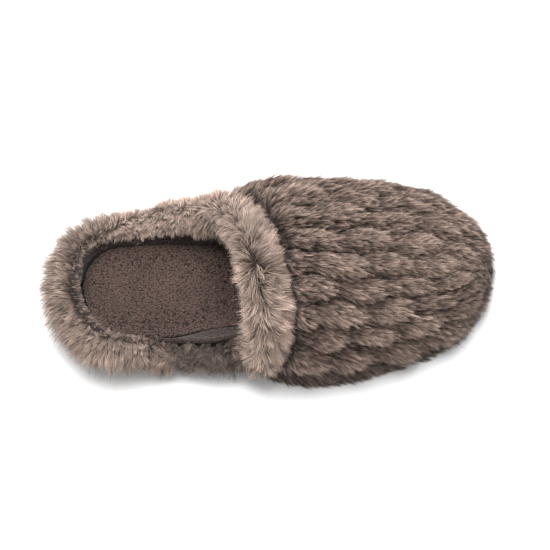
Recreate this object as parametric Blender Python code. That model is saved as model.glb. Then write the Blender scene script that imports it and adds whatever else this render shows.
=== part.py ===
# Plush clog slipper, right foot: outsole, insole, hollow upper and collar cuff.
# Metres. +X points to the toe, +Y to the inner side of the foot, +Z up; the tread stands on z = 0.

import math
from collections import namedtuple

import bmesh
import bpy
import numpy as np

MM = 0.001

# Sole
SOLE_LENGTH = 255 * MM
SOLE_THICKNESS = 5 * MM
SOLE_EDGE_TAPER = 0.8 * MM
HEEL_ARC = 30 * MM
TOE_ARC = 70 * MM
TOE_SPRING = 5 * MM
SPRING_START = 196 * MM
ARCH_RISE = 1.2 * MM
ARCH_FROM, ARCH_TO = 74 * MM, 150 * MM

# Tread: zigzag grooves across the sole, their points towards the heel
GROOVE_PITCH = 5.55 * MM
GROOVE_WIDTH = 1.7 * MM
GROOVE_DEPTH = 1.3 * MM
COLUMN_WIDTH = 13 * MM
CHEVRON_RISE = 4.9 * MM
COLUMNS = 8
PANEL_CENTRE = 99 * MM
PANEL_LENGTH = 23 * MM
PANEL_WIDTH = 41 * MM

# Upper
SEAM_GAP = 0.4 * MM
BACKING_GROW = 0.5 * MM
WALL = 3 * MM
TROUGH = 0.55
PILE_CLEAR, PILE_SHOULDER = 3.0 * MM, 4.0 * MM
PILE_FLOOR_GAP = 1.6 * MM
SKIRT_GAP = 2 * MM
DROOP_BAND = 14 * MM
DROOP = 0.42
TUFT_LENGTH = 31 * MM
TUFT_ROWS = 13
TUFT_FADE = 26 * MM
TOE_TUFT, HEEL_TUFT = 0.6, 0.7
OUTER_ROWS = 14
INNER_STEP = 2

# Opening
TOPLINE_HEEL = 26 * MM
TOPLINE_SIDE = 20.5 * MM
SIDE_DIP = 66 * MM
INNER_LIFT = 6 * MM
INNER_LIFT_SPAN = (40 * MM, 84 * MM)
THROAT_START = 84 * MM
THROAT_TOP = 106.5 * MM
THROAT_OUTER_POWER, THROAT_INNER_POWER = 2.6, 1.9
THROAT_FOOT = 132 * MM
CORNER_ANGLE = math.radians(34)
SIDE_RIBS, CORNER_RIBS, CLIMB_RIBS, VAMP_RIBS = 12, 5, 8, 17
THROAT_SLANT = 0.42
SLANT_REACH = 52 * MM
FLARE_HEIGHT = 16 * MM
OUTER_FLARE = 0.28
OUTER_FLARE_FALL = (84 * MM, 128 * MM)
INNER_FLARE = 0.40
INNER_FLARE_RISE = (20 * MM, 92 * MM)
INNER_FLARE_FALL = (118 * MM, 165 * MM)
BELLY_FALL = (22 * MM, 50 * MM)
BELLY_LOSS = 0.6

# Cuff
RIM_GAP = 1.0 * MM
CUFF_SEAM = 0.8 * MM
CUFF_SECTIONS = 72
CUFF_FRONT_WIDTH = 23 * MM
CUFF_SIDE_WIDTH = 15 * MM
CUFF_FRONT_HEIGHT = 18 * MM
CUFF_SIDE_HEIGHT = 12 * MM
CUFF_FRONT_SPAN = (92 * MM, 112 * MM)
CUFF_FLOOR_GAP = 5.5 * MM
CUFF_LOCK = 13 * MM
CUFF_LOCK_DEPTH = 0.14

# Insole
INSOLE_THICKNESS = 9 * MM
INSOLE_TOE_THICKNESS = 5 * MM
INSOLE_TOE_GAP = 10 * MM
INSOLE_CUP = 1.6 * MM
INSOLE_HEEL_LEAN = 1.8 * MM

# Last, one row for each section; station is the share of the sole length from the heel, the rest in mm.
# Centre is the offset of the middle towards the inner side, crown the height of the backing over the floor,
# pile the depth of the plush on the crests of its tufts. Arch is the power of the curve that the backing
# follows from edge to edge: 2 is an ellipse, more is squarer.
Section = namedtuple("Section", "name station centre half_width crown pile arch")
SECTIONS = [
    Section("heel", 0.00, 0.5, 33.0, 62.0, 13.0, 2.3),
    Section("seat", 0.20, -4.0, 33.6, 63.0, 16.0, 2.3),
    Section("waist", 0.32, -8.0, 32.8, 57.0, 23.0, 1.8),
    Section("arch", 0.43, -6.8, 34.8, 60.0, 25.0, 1.75),
    Section("instep", 0.54, -5.2, 41.0, 67.0, 23.0, 2.15),
    Section("ball", 0.66, -1.8, 46.5, 60.0, 21.0, 2.3),
    Section("joint", 0.75, 2.0, 46.0, 51.0, 19.0, 2.3),
    Section("toe", 1.00, 6.5, 45.0, 40.0, 13.0, 2.3),
]

# Cross-section of the cuff. Reach runs from the rim (0) to the outer edge (1), below 0 over the opening;
# height is a share of the cuff height, 0 on the backing. Locks say how far the tufts move the point.
CuffPoint = namedtuple("CuffPoint", "reach height lock")
CUFF_PROFILE = [
    CuffPoint(0.40, 0.03, 0.0),
    CuffPoint(0.74, 0.20, 0.6),
    CuffPoint(1.00, 0.54, 1.0),
    CuffPoint(0.96, 0.76, 1.0),
    CuffPoint(0.74, 0.92, 1.0),
    CuffPoint(0.42, 1.00, 0.8),
    CuffPoint(0.10, 0.93, 0.8),
    CuffPoint(-0.12, 0.72, 1.0),
    CuffPoint(-0.22, 0.40, 1.0),
    CuffPoint(-0.22, 0.02, 1.0),
    CuffPoint(-0.12, -0.26, 0.6),
]

Finish = namedtuple("Finish", "name color roughness")
FINISHES = {
    "outsole": Finish("black rubber", (0.035, 0.034, 0.037, 1.0), 0.55),
    "insole": Finish("taupe fleece", (0.133, 0.091, 0.076, 1.0), 0.95),
    "upper": Finish("taupe plush", (0.22, 0.16, 0.135, 1.0), 0.9),
    "cuff": Finish("pale taupe plush", (0.30, 0.225, 0.19, 1.0), 0.9),
}


def column(name, unit=MM):
    """Smooth curve through one column of the section table, as a function of x."""
    at = np.array([row.station for row in SECTIONS]) * SOLE_LENGTH
    values = np.array([getattr(row, name) for row in SECTIONS]) * unit
    slopes = np.gradient(values, at)

    def value(x):
        x = min(max(x, 0.0), SOLE_LENGTH)
        i = min(int(np.searchsorted(at, x, side="right")) - 1, len(at) - 2)
        span = at[i + 1] - at[i]
        t = (x - at[i]) / span
        start = (1 + 2 * t) * (1 - t) ** 2 * values[i] + t * (1 - t) ** 2 * span * slopes[i]
        end = t * t * (3 - 2 * t) * values[i + 1] + t * t * (t - 1) * span * slopes[i + 1]
        return start + end

    return value


centre = column("centre")
table_width = column("half_width")
table_crown = column("crown")
table_pile = column("pile")
arch_power = column("arch", 1.0)


def ramp(span, x):
    """0 before the span, 1 after it, with a smooth rise between."""
    share = min(max((x - span[0]) / (span[1] - span[0]), 0.0), 1.0)
    return share * share * (3 - 2 * share)


def end_round(x, grow=0.0, toe_grow=None):
    """Share of the width left at x by the rounded heel and toe of an outline grown by this much."""
    toe_grow = grow if toe_grow is None else toe_grow
    back = min(max((HEEL_ARC - x) / (HEEL_ARC + grow), 0.0), 1.0)
    front = min(max((x - SOLE_LENGTH + TOE_ARC) / (TOE_ARC + toe_grow), 0.0), 1.0)
    return math.sqrt((1 - back * back) * (1 - front * front))


def half_width(x, grow=0.0, toe_grow=None):
    return (table_width(x) + grow) * end_round(x, grow, toe_grow)


def tread_height(x):
    """Height of the tread over the floor: flat at heel and forefoot, raised at the arch and the toe."""
    lift = max((x - SPRING_START) / (SOLE_LENGTH - SPRING_START), 0.0)
    arch = min(max((x - ARCH_FROM) / (ARCH_TO - ARCH_FROM), 0.0), 1.0)
    return TOE_SPRING * lift**2 + ARCH_RISE * math.sin(math.pi * arch) ** 2


def feather_height(x):
    return tread_height(x) + SOLE_THICKNESS + SEAM_GAP


def backing_rise(x):
    """Height of the backing at the middle of the foot, over its feather edge."""
    return (table_crown(x) - SOLE_THICKNESS - SEAM_GAP) * end_round(x, BACKING_GROW)


def slant(xi):
    """How far the ribs near the throat lean back towards the inner side."""
    return THROAT_SLANT * math.exp(-(((xi - THROAT_TOP) / SLANT_REACH) ** 2))


def flare(x, z, across):
    """Growth of the width at this height by the belly of the sides; across is below 0 on the outer side."""
    if across < 0:
        lean = OUTER_FLARE * (1 - ramp(OUTER_FLARE_FALL, x))
    else:
        lean = INNER_FLARE * ramp(INNER_FLARE_RISE, x) * (1 - ramp(INNER_FLARE_FALL, x))
    above = z - feather_height(x)
    return 1 + lean * min(max(above / FLARE_HEIGHT, 0.0), 1.0) * (1 - BELLY_LOSS * ramp(BELLY_FALL, above))


def wall_lean(x, z):
    """Share of the width that the arch of the backing has left at this height."""
    up = (z - feather_height(x)) / max(backing_rise(x), z - feather_height(x))
    return (1 - up ** arch_power(x)) ** (1 / arch_power(x))


def share_across(theta, power):
    return -math.copysign(abs(math.cos(theta)) ** (2 / power), math.cos(theta))


def backing_point(xi, theta):
    """Point of the backing on rib xi. Theta is 0 on the outer feather edge, pi on the inner one."""
    x = xi - slant(xi) * share_across(theta, arch_power(xi)) * half_width(xi, BACKING_GROW)
    across = share_across(theta, arch_power(x))
    z = feather_height(x) + math.sin(theta) ** (2 / arch_power(x)) * backing_rise(x)
    return np.array([x, centre(x) + across * half_width(x, BACKING_GROW) * flare(x, z, across), z])


def backing_level(point):
    x, y, z = point
    aside = y - centre(x)
    width = max(half_width(x, BACKING_GROW) * flare(x, z, aside), 0.1 * MM)
    rise = max(backing_rise(x), 0.1 * MM)
    up = abs((z - feather_height(x)) / rise)
    return abs(aside / width) ** arch_power(x) + up ** arch_power(x)


def backing_slope(point):
    step = 0.05 * MM
    return np.array([
        (backing_level(point + axis) - backing_level(point - axis)) / (2 * step)
        for axis in np.eye(3) * step
    ])


def backing_normal(point):
    slope = backing_slope(point)
    return slope / np.linalg.norm(slope)


def walk(point, heading, distance):
    """Point reached by going this far over the backing, starting in the heading given."""
    steps = max(int(math.ceil(distance / (1.5 * MM))), 1)
    for _ in range(steps):
        point = point + heading * (distance / steps)
        for _ in range(3):
            slope = backing_slope(point)
            point = point - slope * (backing_level(point) - 1) / slope.dot(slope)
        normal = backing_normal(point)
        heading = heading - normal * heading.dot(normal)
        heading = heading / np.linalg.norm(heading)
    return point


def topline_height(xi, side):
    """Height of the rim of the backing on rib xi, from the heel to the top of the throat. The inner side
    (side 1) stands a little higher and climbs less steeply than the outer one (side -1)."""
    dip = math.cos(min(xi / SIDE_DIP, 1.0) * math.pi) * 0.5 + 0.5
    low = TOPLINE_SIDE + (TOPLINE_HEEL - TOPLINE_SIDE) * dip
    power = THROAT_OUTER_POWER
    if side > 0:
        low += INNER_LIFT * ramp(INNER_LIFT_SPAN, xi)
        power = THROAT_INNER_POWER
    share = min(max((xi - THROAT_START) / (THROAT_TOP - THROAT_START), 0.0), 1.0)
    climb = 1 - (1 - share**power) ** (1 / power)
    spine = feather_height(xi) + backing_rise(xi)
    return low + (spine - low) * climb


def heel_top():
    """Rib on which the rim crosses the back of the heel."""
    low, high = -BACKING_GROW, HEEL_ARC
    for _ in range(40):
        middle = (low + high) / 2
        if feather_height(middle) + backing_rise(middle) < topline_height(middle, -1):
            low = middle
        else:
            high = middle
    return high


HEEL_TOP = heel_top()


def top_angle(xi, side):
    """Theta at which rib xi ends: at the rim in the opening, on the spine elsewhere."""
    if xi <= HEEL_TOP or xi >= THROAT_TOP:
        return math.pi / 2
    up = (topline_height(xi, side) - feather_height(xi)) / backing_rise(xi)
    return math.asin(min(up, 1.0) ** (arch_power(xi) / 2))


def throat_station(angle, side):
    """Station at which the rim has climbed to this theta on its way up the throat."""
    low, high = THROAT_START, THROAT_TOP
    for _ in range(40):
        middle = (low + high) / 2
        if top_angle(middle, side) < angle:
            low = middle
        else:
            high = middle
    return high


def rim_stations(side, side_steps, corner_steps, climb_steps):
    """Stations along the rim, from the back of the heel over the corner of the throat to its top."""
    turn = np.linspace(0, math.pi / 2, side_steps + 1)
    low = HEEL_TOP + (THROAT_START - HEEL_TOP) * (1 - np.cos(turn))
    corner = np.linspace(THROAT_START, throat_station(CORNER_ANGLE, side), corner_steps + 1)[1:]
    angles = np.linspace(CORNER_ANGLE, math.pi / 2, climb_steps + 1)[1:-1]
    climb = [throat_station(angle, side) for angle in angles]
    return [*low, *corner, *climb, THROAT_TOP]


def topline():
    """Closed line of the rim, from the back of the heel along the outer side, back along the inner."""
    outer = [backing_point(xi, top_angle(xi, -1)) for xi in rim_stations(-1, 60, 40, 40)]
    stations = rim_stations(1, 60, 40, 40)[-2:0:-1]
    inner = [backing_point(xi, math.pi - top_angle(xi, 1)) for xi in stations]
    return np.array(outer + inner)


def evenly(line, count):
    """The closed line again, as this many points the same distance apart."""
    ring = np.vstack([line, line[:1]])
    along = np.concatenate([[0], np.cumsum(np.linalg.norm(np.diff(ring, axis=0), axis=1))])
    at = np.linspace(0, along[-1], count, endpoint=False)
    return np.stack([np.interp(at, along, ring[:, k]) for k in range(3)], axis=1)


TOPLINE = evenly(topline(), 4 * CUFF_SECTIONS)


def cuff_width(rim):
    """Reach of the cuff over the backing, wider at the front of the opening than along its sides and heel."""
    front = ramp(CUFF_FRONT_SPAN, rim[0])
    width = CUFF_SIDE_WIDTH + (CUFF_FRONT_WIDTH - CUFF_SIDE_WIDTH) * front
    return min(width, rim[2] - feather_height(rim[0]) - CUFF_FLOOR_GAP)


def cuff_height(rim):
    return CUFF_SIDE_HEIGHT + (CUFF_FRONT_HEIGHT - CUFF_SIDE_HEIGHT) * ramp(CUFF_FRONT_SPAN, rim[0])


def tuft(xi, theta):
    """Height of the staggered lengthwise tufts, from 0 in a trough to 1 on a crest; low at the toe."""
    row = theta / math.pi * TUFT_ROWS + 0.5
    along = xi / TUFT_LENGTH + 0.5 * (math.floor(row) % 2) + 0.13 * math.sin(5.1 * math.floor(row))
    share = along - math.floor(along)
    swell = share / 0.72 if share < 0.72 else (1 - share) / 0.28
    crest = math.sin(math.pi * (row - math.floor(row))) ** 0.7 * (0.25 + 0.75 * swell)
    fade = min(max((SOLE_LENGTH - xi) / TUFT_FADE, 0.0), 1.0)
    return TOE_TUFT + (crest - TOE_TUFT) * fade


def pile_height(point, xi, theta):
    """Depth of the plush on the backing; none under the cuff."""
    gaps = np.linalg.norm(TOPLINE - point, axis=1)
    nearest = int(gaps.argmin())
    clear = gaps[nearest] - cuff_width(TOPLINE[nearest])
    share = min(max((clear - PILE_CLEAR) / PILE_SHOULDER, 0.0), 1.0)
    return table_pile(xi) * (TROUGH + (1 - TROUGH) * tuft(xi, theta)) * share


def pile_tip(point, normal, height):
    """Outer face of the plush over a point of the backing; low down it hangs towards the floor."""
    x, _, z = point
    low = min(max(1 - (z - feather_height(x)) / DROOP_BAND, 0.0), 1.0)
    tip = point + (normal - np.array([0, 0, DROOP * low])) * height
    tip[2] = max(tip[2], tread_height(min(x, SOLE_LENGTH)) + PILE_FLOOR_GAP)
    return tip


def rib(foot, head, side):
    """Loop of one side of a rib: ledge on the sole, skirt beside it, plush up to the rim, lining back down.
    It starts on station foot at the feather edge and ends on station head at the rim or the spine."""
    top = top_angle(head, side)
    outer, inner = [], []
    for row in range(OUTER_ROWS + 1):
        share = row / OUTER_ROWS
        xi = foot + (head - foot) * share
        theta = top * share if side < 0 else math.pi - top * share
        point = backing_point(xi, theta)
        normal = backing_normal(point)
        outer.append(pile_tip(point, normal, pile_height(point, xi, theta)))
        if row % INNER_STEP == 0:
            inner.append(point - normal * WALL)
    edge = backing_point(foot, 0.0 if side < 0 else math.pi)
    inner[0][2] = edge[2]
    skirt = np.array([edge[0], edge[1], tread_height(edge[0]) + SKIRT_GAP])
    return [edge, skirt] + outer + inner[::-1]


def pole(x, heading, depth):
    """The loop of a rib at the very tip of heel or toe, where it has shrunk to one upright line."""
    edge = np.array([x, centre(x), feather_height(x)])
    skirt = edge + np.array([0, 0, tread_height(x) + SKIRT_GAP - edge[2]])
    normal = np.array([heading, 0.0, 0.0])
    tip = pile_tip(edge, normal, table_pile(x) * (TROUGH + (1 - TROUGH) * depth))
    lining = edge - normal * WALL
    inner_count = OUTER_ROWS // INNER_STEP + 1
    return [edge, skirt] + [tip] * (OUTER_ROWS + 1) + [lining] * inner_count


def rib_stations(side):
    """Foot and head of every rib from heel to toe; over the throat the feet spread to even out the ribs."""
    heads = rim_stations(side, SIDE_RIBS, CORNER_RIBS, CLIMB_RIBS)
    spread = np.linspace(THROAT_START, THROAT_FOOT, CORNER_RIBS + CLIMB_RIBS + 1)[1:]
    ribs = list(zip([*heads[:SIDE_RIBS + 1], *spread], heads))
    tip = SOLE_LENGTH - 1.5 * MM
    shares = np.sin(np.linspace(0, 0.94 * math.pi / 2, VAMP_RIBS + 1))[1:]
    for share in shares / shares[-1]:
        ribs.append((THROAT_FOOT + (tip - THROAT_FOOT) * share, THROAT_TOP + (tip - THROAT_TOP) * share))
    return [(HEEL_TOP * 0.3, HEEL_TOP * 0.3)] + ribs


def add_object(name, bm):
    """Mesh object of a node, with its finish, facing outwards."""
    bmesh.ops.recalc_face_normals(bm, faces=bm.faces)
    mesh = bpy.data.meshes.new(name)
    bm.to_mesh(mesh)
    bm.free()
    obj = bpy.data.objects.new(name, mesh)
    bpy.context.scene.collection.objects.link(obj)
    finish = FINISHES.get(name)
    if finish:
        material = bpy.data.materials.new(finish.name)
        material.use_nodes = True
        shader = material.node_tree.nodes["Principled BSDF"]
        shader.inputs["Base Color"].default_value = finish.color
        shader.inputs["Roughness"].default_value = finish.roughness
        mesh.materials.append(material)
    return obj


class Weld:
    """Mesh under construction in which points at the same place are one vertex."""

    def __init__(self):
        self.bm = bmesh.new()
        self.found = {}

    def vertex(self, point):
        key = tuple(np.round(point, 7))
        if key not in self.found:
            self.found[key] = self.bm.verts.new(point)
        return self.found[key]

    def face(self, *points):
        corners = []
        for vertex in map(self.vertex, points):
            if vertex not in corners:
                corners.append(vertex)
        if len(corners) > 2:
            self.bm.faces.new(corners)

    def strip(self, first, second, closed):
        """Faces between two neighbouring loops of the same length."""
        count = len(first)
        for k in range(count if closed else count - 1):
            n = (k + 1) % count
            self.face(first[k], first[n], second[n], second[k])


def build_upper():
    weld = Weld()
    rim = 2 + OUTER_ROWS
    for side in (-1, 1):
        stations = rib_stations(side)
        loops = [pole(-BACKING_GROW, -1, HEEL_TUFT)]
        loops += [rib(foot, head, side) for foot, head in stations]
        loops.append(pole(SOLE_LENGTH + BACKING_GROW, 1, TOE_TUFT))
        for first, second, head in zip(loops, loops[1:], [-1.0] + [head for _, head in stations]):
            weld.strip(first[:rim + 1], second[:rim + 1], closed=False)
            weld.strip(first[rim + 1:] + first[:1], second[rim + 1:] + second[:1], closed=False)
            if HEEL_TOP <= head < THROAT_TOP:
                weld.face(first[rim], first[rim + 1], second[rim + 1], second[rim])
    return add_object("upper", weld.bm)


def build_cuff():
    weld = Weld()
    rim = TOPLINE[::4]
    count = len(rim)
    middle = np.array([60 * MM, centre(60 * MM), 60 * MM])
    length = np.linalg.norm(np.roll(rim, -1, axis=0) - rim, axis=1).sum()
    locks = round(length / CUFF_LOCK)
    rings = []
    for k, point in enumerate(rim):
        along = rim[(k + 1) % count] - rim[k - 1]
        normal = backing_normal(point)
        away = np.cross(normal, along)
        away = away / np.linalg.norm(away)
        away = away if away.dot(point - middle) > 0 else -away
        width, height = cuff_width(point), cuff_height(point)
        turn = 2 * math.pi * k / count
        swell = 1 + CUFF_LOCK_DEPTH * math.cos(locks * turn + 1.3 * math.sin(7 * turn))
        ring = [
            point - away * RIM_GAP - normal * (WALL + RIM_GAP),
            point - away * RIM_GAP + normal * CUFF_SEAM,
        ]
        for spot in CUFF_PROFILE:
            grow = 1 + (swell - 1) * spot.lock
            reach = spot.reach * width * (1 + grow) / 2
            base, up = point + away * min(reach, 0.0), normal
            if reach > 0:
                base = walk(point, away, reach)
                up = backing_normal(base)
            ring.append(base + up * (spot.height * height * grow + CUFF_SEAM * (spot.height >= 0)))
        rings.append(ring)
    for k in range(count):
        weld.strip(rings[k], rings[(k + 1) % count], closed=True)
    return add_object("cuff", weld.bm)


def build_insole():
    weld = Weld()
    grow = BACKING_GROW - WALL - SEAM_GAP
    back, front = -grow, SOLE_LENGTH - INSOLE_TOE_GAP
    loops = []
    for share in 0.5 - 0.5 * np.cos(np.linspace(0, math.pi, 34)):
        x = back + (front - back) * share
        width = half_width(x, grow, -INSOLE_TOE_GAP)
        low = feather_height(x)
        fore = min(max((x - 120 * MM) / (100 * MM), 0.0), 1.0)
        high = low + INSOLE_THICKNESS + (INSOLE_TOE_THICKNESS - INSOLE_THICKNESS) * fore
        lean = INSOLE_HEEL_LEAN * max(1 - x / HEEL_ARC, 0.0)
        loop = [np.array([x, centre(x) + width, low]), np.array([x, centre(x) - width, low])]
        for across in (-0.985, -0.72, -0.3, 0.3, 0.72, 0.985):
            z = high + INSOLE_CUP * abs(across) ** 3 * (1 - fore)
            reach = width * flare(x, z, across) * (1 - (1 - wall_lean(x, z)) * abs(across))
            loop.append(np.array([x + lean, centre(x) + across * reach, z]))
        loops.append(loop)
    for first, second in zip(loops, loops[1:]):
        weld.strip(first, second, closed=True)
    return add_object("insole", weld.bm)


def sole_block():
    weld = Weld()
    loops = []
    for share in 0.5 - 0.5 * np.cos(np.linspace(0, math.pi, 44)):
        x = SOLE_LENGTH * share
        low = tread_height(x)
        width = half_width(x)
        foot = max(width - SOLE_EDGE_TAPER, 0.6 * width)
        loops.append([
            np.array([x, centre(x) - foot, low]),
            np.array([x, centre(x) - width, low + SOLE_EDGE_TAPER]),
            np.array([x, centre(x) - width, low + SOLE_THICKNESS]),
            np.array([x, centre(x) + width, low + SOLE_THICKNESS]),
            np.array([x, centre(x) + width, low + SOLE_EDGE_TAPER]),
            np.array([x, centre(x) + foot, low]),
        ])
    for first, second in zip(loops, loops[1:]):
        weld.strip(first, second, closed=True)
    return add_object("outsole", weld.bm)


def groove(weld, start, sides):
    """One V-shaped zigzag groove between two offsets from the axis."""
    corners = np.arange(-COLUMNS, COLUMNS + 1) * COLUMN_WIDTH / 2
    ends = [y for y in sides]
    rows = sorted(ends + [y for y in corners if ends[0] + MM < y < ends[1] - MM])
    loops = []
    for y in rows:
        fold = abs((y / COLUMN_WIDTH + COLUMNS) % 1 - 0.5) * 2
        x = start + CHEVRON_RISE * fold
        low = tread_height(min(max(x, 0.0), SOLE_LENGTH))
        wide = GROOVE_WIDTH / 2 * (1 + 1 * MM / GROOVE_DEPTH)
        loops.append([
            np.array([x - wide, y, low - 1 * MM]),
            np.array([x, y, low + GROOVE_DEPTH]),
            np.array([x + wide, y, low - 1 * MM]),
        ])
    for first, second in zip(loops, loops[1:]):
        weld.strip(first, second, closed=True)
    weld.face(*loops[0])
    weld.face(*loops[-1])


def build_outsole():
    sole = sole_block()
    weld = Weld()
    far = COLUMNS * COLUMN_WIDTH / 2
    panel_side = PANEL_WIDTH / 2
    middle = centre(PANEL_CENTRE)
    for k in range(int(SOLE_LENGTH / GROOVE_PITCH)):
        start = (k + 0.1) * GROOVE_PITCH
        beside = abs(start + CHEVRON_RISE / 2 - PANEL_CENTRE) < (PANEL_LENGTH + CHEVRON_RISE) / 2
        if beside:
            groove(weld, start, (-far, middle - panel_side))
            groove(weld, start, (middle + panel_side, far))
        else:
            groove(weld, start, (-far, far))
    cutter = add_object("tread cutter", weld.bm)
    cutter.hide_render = True
    cutter.display_type = "WIRE"
    cut = sole.modifiers.new("tread", "BOOLEAN")
    cut.operation = "DIFFERENCE"
    cut.solver = "EXACT"
    cut.object = cutter
    return sole, cutter


def main():
    for obj in list(bpy.data.objects):
        bpy.data.objects.remove(obj)
    outsole, cutter = build_outsole()
    pieces = [outsole, build_insole(), build_upper(), build_cuff()]
    points = np.array([v.co for obj in pieces for v in obj.data.vertices])
    middle = (points.min(axis=0) + points.max(axis=0)) / 2
    slipper = bpy.data.objects.new("slipper", None)
    bpy.context.scene.collection.objects.link(slipper)
    slipper.location = (-middle[0], -middle[1], 0.0)
    for obj in pieces + [cutter]:
        obj.parent = slipper


main()
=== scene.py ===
import math

import bpy
import numpy as np
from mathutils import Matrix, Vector, kdtree


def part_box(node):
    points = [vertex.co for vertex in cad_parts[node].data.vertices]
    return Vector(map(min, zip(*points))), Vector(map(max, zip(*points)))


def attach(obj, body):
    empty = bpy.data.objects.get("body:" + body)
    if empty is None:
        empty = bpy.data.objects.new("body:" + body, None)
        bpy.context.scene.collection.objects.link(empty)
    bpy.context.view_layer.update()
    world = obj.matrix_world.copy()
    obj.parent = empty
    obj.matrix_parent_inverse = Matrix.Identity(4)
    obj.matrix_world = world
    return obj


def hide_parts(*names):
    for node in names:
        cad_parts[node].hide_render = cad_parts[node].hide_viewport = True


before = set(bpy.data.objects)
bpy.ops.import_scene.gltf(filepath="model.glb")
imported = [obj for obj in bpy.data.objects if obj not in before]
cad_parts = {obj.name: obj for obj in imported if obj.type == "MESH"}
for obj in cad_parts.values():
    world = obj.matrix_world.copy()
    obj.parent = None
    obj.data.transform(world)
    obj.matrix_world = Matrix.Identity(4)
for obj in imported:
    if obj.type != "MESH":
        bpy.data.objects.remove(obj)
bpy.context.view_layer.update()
seed = 417
rng = np.random.default_rng(seed)
print("frame loaded:", ", ".join(sorted(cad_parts)))

# the last that the slipper is made on: stations are shares of the sole length, everything else is in mm
last = {
    "soleLength": 255.0, "soleThick": 5.0, "heelArc": 30.0, "toeArc": 70.0,
    "toeSpring": 5.0, "springStart": 196.0, "springLimit": 1.3, "archRise": 1.2, "archSpan": (74, 150),
    "seamGap": 0.4, "backingGrow": 0.5, "wall": 3.0,
    "station": (0.00, 0.20, 0.32, 0.43, 0.54, 0.66, 0.75, 1.00),
    "centre": (0.5, -4.0, -8.0, -6.8, -5.2, -1.8, 2.0, 6.5),
    "halfWidth": (33.0, 33.6, 32.8, 34.8, 41.0, 46.5, 46.0, 45.0),
    "crown": (62.0, 63.0, 57.0, 60.0, 67.0, 60.0, 51.0, 40.0),
    "pile": (13.0, 16.0, 23.0, 25.0, 23.0, 21.0, 19.0, 13.0),
    "arch": (2.3, 2.3, 1.8, 1.75, 2.15, 2.3, 2.3, 2.3),
}
opening = {
    "heelHeight": 26.0, "sideHeight": 20.5, "sideDip": 66.0, "innerLift": 6.0, "liftSpan": (40, 84),
    "throatStart": 84.0, "throatTop": 106.5, "throatPower": (2.6, 1.9), "throatFoot": 132.0,
    "cornerAngle": math.radians(34), "slant": 0.42, "slantReach": 52.0, "middle": 60.0,
    "rimSteps": (80, 50, 60), "rimPoints": 320,
}
flare = {  # how far the sides lean outwards, as a share of the width
    "height": 16.0, "belly": (22, 50), "waist": 0.6, "outer": 0.28, "outerFall": (84, 128),
    "inner": 0.40, "innerRise": (20, 92), "innerFall": (118, 165),
}
soleLength, throatStart, throatTop = last["soleLength"], opening["throatStart"], opening["throatTop"]
tiny, leastSize, slopeStep = 1e-9, 0.1, 0.05  # guards against division by nothing, and the step for slopes
halvings, soleSteps, weldDigits = 40, 900, 3
mmPerMetre, metrePerMm = 1000, 0.001


# 0 at low and 1 at high, also where low is the larger one
def smooth(low, high, value):
    share = np.clip((value - low) / (high - low), 0.0, 1.0)
    return share * share * (3 - 2 * share)


# rises from start to full, and falls again from ebb to end
def hump(span, value):
    start, full, ebb, end = span
    return smooth(start, full, value) * (1 - smooth(ebb, end, value))


def unit(vectors):
    return vectors / np.maximum(np.linalg.norm(vectors, axis=-1, keepdims=True), tiny)


def dot(a, b):
    return (a * b).sum(axis=-1, keepdims=True)


def lastCurve(name):
    at = np.array(last["station"]) * soleLength
    values = np.array(last[name])
    slopes = np.gradient(values, at)

    def value(x):
        x = np.clip(x, 0.0, soleLength)
        i = np.clip(np.searchsorted(at, x, side="right") - 1, 0, len(at) - 2)
        span = at[i + 1] - at[i]
        t = (x - at[i]) / span
        start = (1 + 2 * t) * (1 - t) ** 2 * values[i] + t * (1 - t) ** 2 * span * slopes[i]
        end = t * t * (3 - 2 * t) * values[i + 1] + t * t * (t - 1) * span * slopes[i + 1]
        return start + end

    return value


centreAt = lastCurve("centre")
tableWidth = lastCurve("halfWidth")
tableCrown = lastCurve("crown")
tablePile = lastCurve("pile")
archPower = lastCurve("arch")


def endRound(x, grow=0.0, toeGrow=None):
    toeGrow = grow if toeGrow is None else toeGrow
    back = np.clip((last["heelArc"] - x) / (last["heelArc"] + grow), 0, 1)
    front = np.clip((x - soleLength + last["toeArc"]) / (last["toeArc"] + toeGrow), 0, 1)
    return np.sqrt((1 - back * back) * (1 - front * front))


def halfWidth(x, grow=0.0, toeGrow=None):
    return (tableWidth(x) + grow) * endRound(x, grow, toeGrow)


def treadHeight(x):
    lift = (x - last["springStart"]) / (soleLength - last["springStart"])
    lift = np.clip(lift, 0, last["springLimit"])
    arch = np.clip((x - last["archSpan"][0]) / (last["archSpan"][1] - last["archSpan"][0]), 0, 1)
    return last["toeSpring"] * lift**2 + last["archRise"] * np.sin(np.pi * arch) ** 2


def featherHeight(x):
    return treadHeight(x) + last["soleThick"] + last["seamGap"]


def backingRise(x):
    return (tableCrown(x) - last["soleThick"] - last["seamGap"]) * endRound(x, last["backingGrow"])


# the sides lean outwards; across is below 0 on the outer side
def flareAt(x, z, across):
    outer = flare["outer"] * (1 - smooth(*flare["outerFall"], x))
    inner = flare["inner"] * smooth(*flare["innerRise"], x) * (1 - smooth(*flare["innerFall"], x))
    above = z - featherHeight(x)
    level = np.clip(above / flare["height"], 0, 1) * (1 - flare["waist"] * smooth(*flare["belly"], above))
    return 1 + np.where(across < 0, outer, inner) * level


# share of the width that the arch of the backing has left at a height
def wallLean(x, z):
    up = (z - featherHeight(x)) / np.maximum(backingRise(x), z - featherHeight(x))
    return (1 - up ** archPower(x)) ** (1 / archPower(x))


def shareAcross(theta, power):
    return -np.sign(np.cos(theta)) * np.abs(np.cos(theta)) ** (2 / power)


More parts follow.
